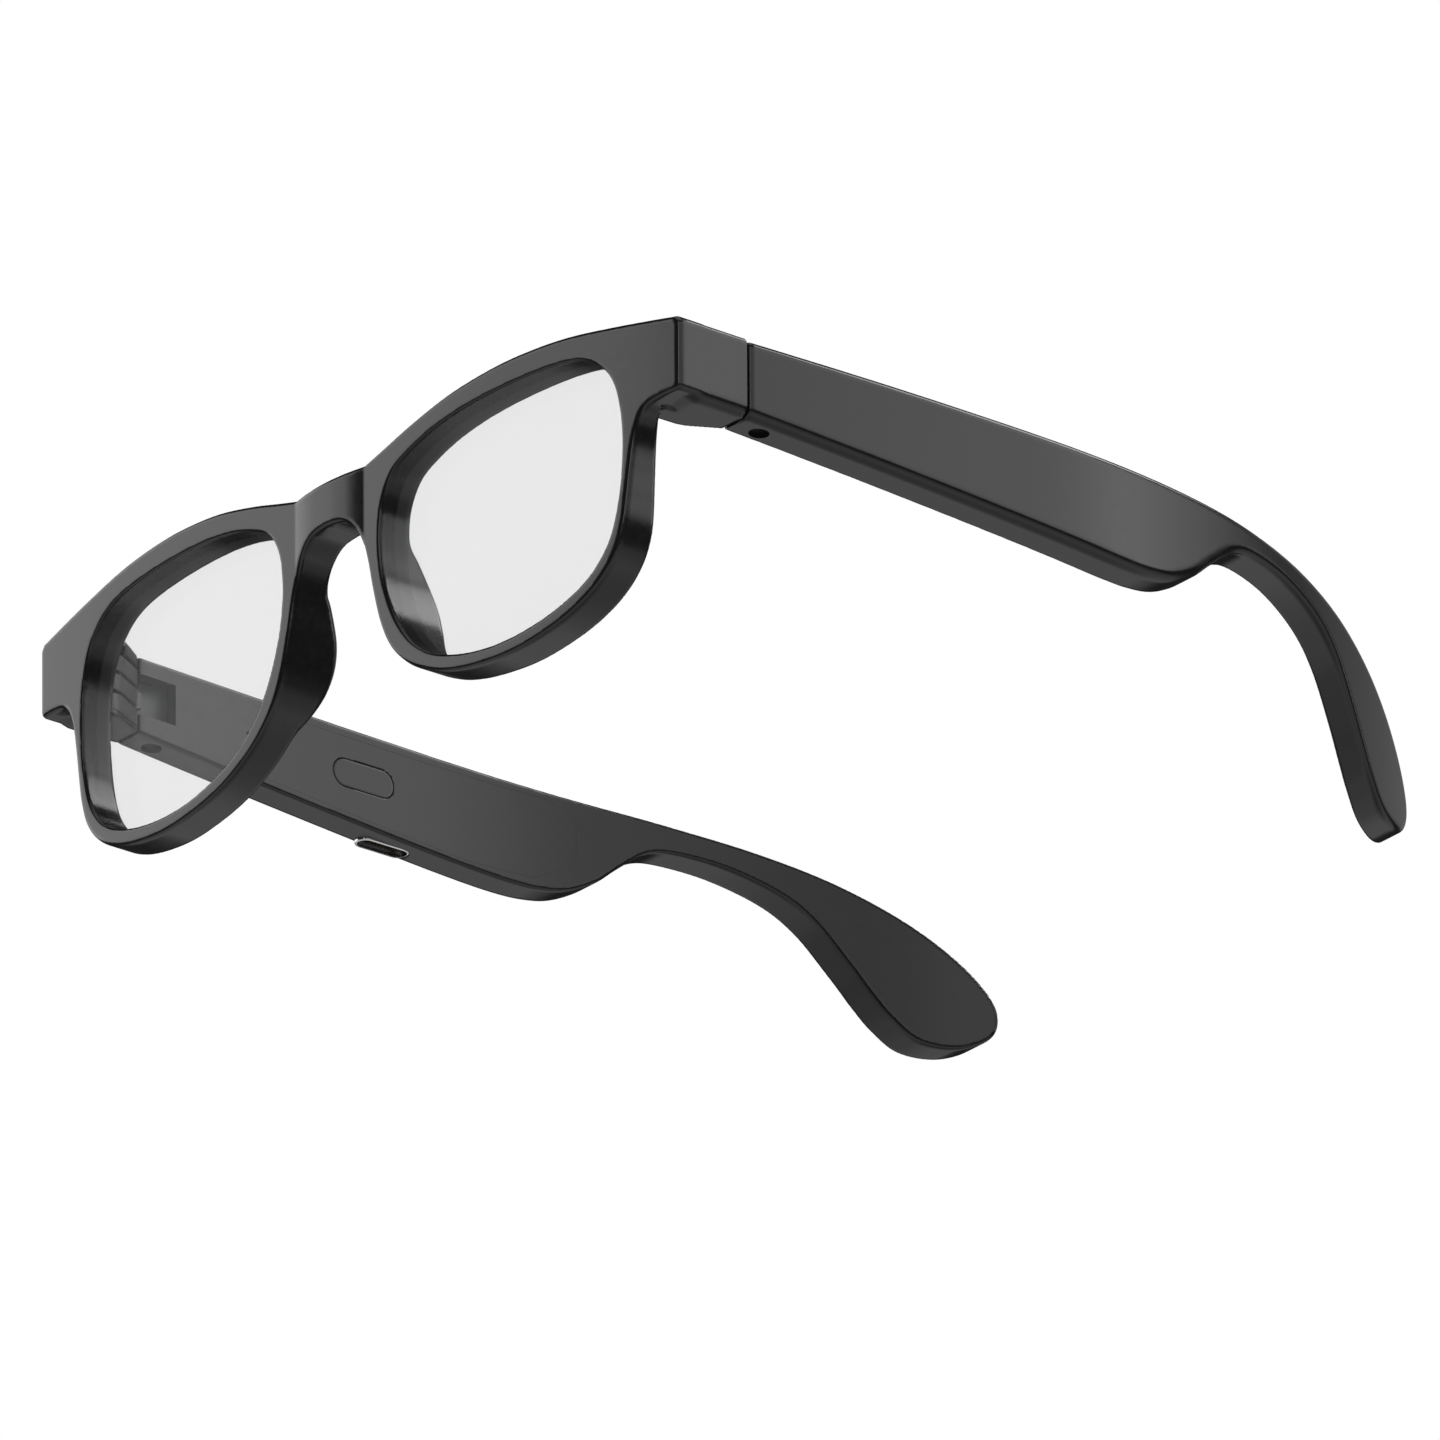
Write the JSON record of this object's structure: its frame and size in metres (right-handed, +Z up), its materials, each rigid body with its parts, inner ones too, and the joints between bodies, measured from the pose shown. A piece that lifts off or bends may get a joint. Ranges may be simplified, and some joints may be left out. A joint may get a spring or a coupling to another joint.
{
  "type": "smart glasses",
  "caption": "Black full-rim glasses with clear lenses, thick folding temples that hold electronics, a capsule button and a charging socket.",
  "frame": {"origin": "under the middle of the bounding box, at the height of the rims' lowest points", "axes": "+X to the wearer's left, +Y backwards along the open temples, +Z up"},
  "size_m": [0.146, 0.1548, 0.0449],
  "materials": {
    "frame_plastic": "satin black moulded plastic",
    "lens": "clear, very faint grey",
    "button_plastic": "satin black",
    "steel": "plain",
    "bright_metal": "bright nickel",
    "hinge_metal": "black coated metal",
    "polyimide_film": "amber film",
    "board_laminate": "green solder mask",
    "chip_plastic": "matt",
    "battery_pouch": "silver foil",
    "speaker_case": "matt black",
    "port_mesh": "fine black mesh",
    "connector_plastic": "matt black"
  },
  "bodies": {
    "front": {"front_frame": "frame_plastic", "lens_left": "lens", "lens_right": "lens", "front_flex_cable": "polyimide_film", "front_hinge_left": "hinge_metal", "front_hinge_right": "hinge_metal", "front_hinge_screws": "steel", "pivot_screw_left": "steel", "pivot_screw_right": "steel"},
    "left_temple": {"left_temple_shell": "frame_plastic", "left_inner_cover": "frame_plastic", "left_temple_hinge": "hinge_metal", "left_hinge_screws": "steel", "left_ear_core": "steel", "left_speaker": "speaker_case", "left_port_mesh": "port_mesh", "left_battery": "battery_pouch", "left_circuit_board": "board_laminate", "left_board_chips": "chip_plastic", "left_flex_cable": "polyimide_film", "left_touch_film": "polyimide_film"},
    "right_temple": {"right_temple_shell": "frame_plastic", "right_inner_cover": "frame_plastic", "right_temple_hinge": "hinge_metal", "right_hinge_screws": "steel", "right_ear_core": "steel", "right_speaker": "speaker_case", "right_port_mesh": "port_mesh", "right_battery": "battery_pouch", "right_circuit_board": "board_laminate", "right_board_chips": "chip_plastic", "right_flex_cable": "polyimide_film", "microphone": "bright_metal", "usb_c_shell": "bright_metal", "usb_c_tongue": "connector_plastic", "tactile_switch": "bright_metal"},
    "power_button": {"power_button": "button_plastic"}
  },
  "joints": [
    {"name": "left_temple_fold", "type": "hinge", "parent": "front", "child": "left_temple", "pos_m": [0.0652, -0.06352, 0.0348], "axis": [0, 0, 1], "range_deg": [0, 65]},
    {"name": "right_temple_fold", "type": "hinge", "parent": "front", "child": "right_temple", "pos_m": [-0.0652, -0.06352, 0.0348], "axis": [0, 0, -1], "range_deg": [0, 85.4]},
    {"name": "power_button_press", "type": "slide", "parent": "right_temple", "child": "power_button", "axis": [-1, 0, 0], "range_m": [0, 0.0003], "stiffness_N_per_m": 3000}
  ]
}
